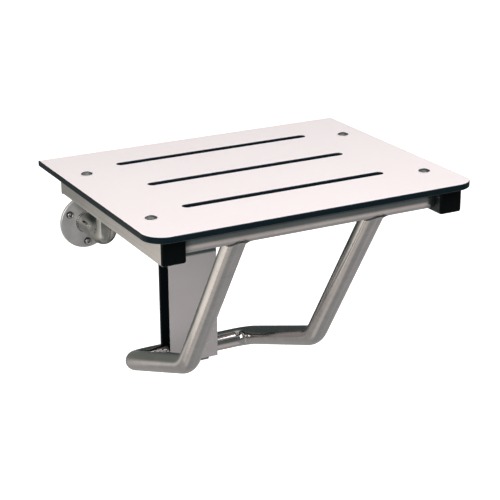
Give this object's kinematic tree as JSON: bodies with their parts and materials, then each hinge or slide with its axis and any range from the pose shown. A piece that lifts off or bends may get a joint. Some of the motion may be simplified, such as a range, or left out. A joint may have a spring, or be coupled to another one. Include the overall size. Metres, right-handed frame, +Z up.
{
  "type": "fold down wall seat",
  "caption": "Folding wall seat: slotted laminate plate on a square tube frame, wall arms, and a bent tube leg that slides in a wall guide.",
  "frame": {"origin": "on the wall plane, midway between the centres of the two wall flanges", "axes": "+X along the wall to the right as seen from the room, +Y into the wall, +Z up; the seat reaches towards -Y"},
  "size_m": [0.46, 0.437, 0.3577],
  "materials": {
    "satin_steel": "satin brushed stainless steel",
    "polished_steel": "polished stainless steel",
    "laminate_face": "fine matt laminate",
    "laminate_core": "machined dark core",
    "black_plastic": "moulded black",
    "nylon": "natural nylon"
  },
  "bodies": {
    "wall_mount": {"flange_left": "satin_steel", "flange_right": "satin_steel", "flange_screws": "polished_steel", "wall_arm_left": "satin_steel", "wall_arm_right": "satin_steel", "pivot_cross_tube": "satin_steel", "pivot_bushes": "nylon", "guide_bracket": "satin_steel", "guide_liner": "black_plastic", "guide_screws": "polished_steel", "retaining_spring": "polished_steel", "spring_rivets": "polished_steel", "stop_pad": "black_plastic", "stop_rivets": "polished_steel"},
    "seat": {"seat_core": "laminate_core", "seat_face_top": "laminate_face", "seat_face_bottom": "laminate_face", "seat_screws": "polished_steel", "rail_weld_nuts": "satin_steel", "rail_left": "satin_steel", "rail_right": "satin_steel", "rail_rear_caps": "satin_steel", "end_cap_left": "black_plastic", "end_cap_right": "black_plastic", "pivot_lugs": "satin_steel", "pivot_pins": "polished_steel", "front_bush_blocks": "nylon", "front_thrust_washers": "nylon"},
    "leg": {"front_crossbar": "satin_steel", "front_pivot_pins": "polished_steel", "leg_tube_left": "satin_steel", "leg_tube_right": "satin_steel"},
    "foot_slider": {"slider_tube": "satin_steel", "wear_sleeve": "black_plastic"}
  },
  "joints": [
    {"name": "seat_fold", "type": "hinge", "parent": "wall_mount", "child": "seat", "pos_m": [0, -0.081, 0.088], "axis": [-1, 0, 0], "range_deg": [0, 90]},
    {"name": "leg_swing", "type": "hinge", "parent": "seat", "child": "leg", "pos_m": [0, -0.3704, 0.088], "axis": [1, 0, 0], "range_deg": [0, 48.89]},
    {"name": "foot_slide", "type": "slide", "parent": "wall_mount", "child": "foot_slider", "axis": [0, 0, 1], "range_m": [0, 0.13565]}
  ],
  "couplings": [
    {"joint": "leg_swing", "follows": "seat_fold", "ratio": 0.54321},
    {"joint": "foot_slide", "follows": "seat_fold", "m_per_rad": 0.086359}
  ]
}
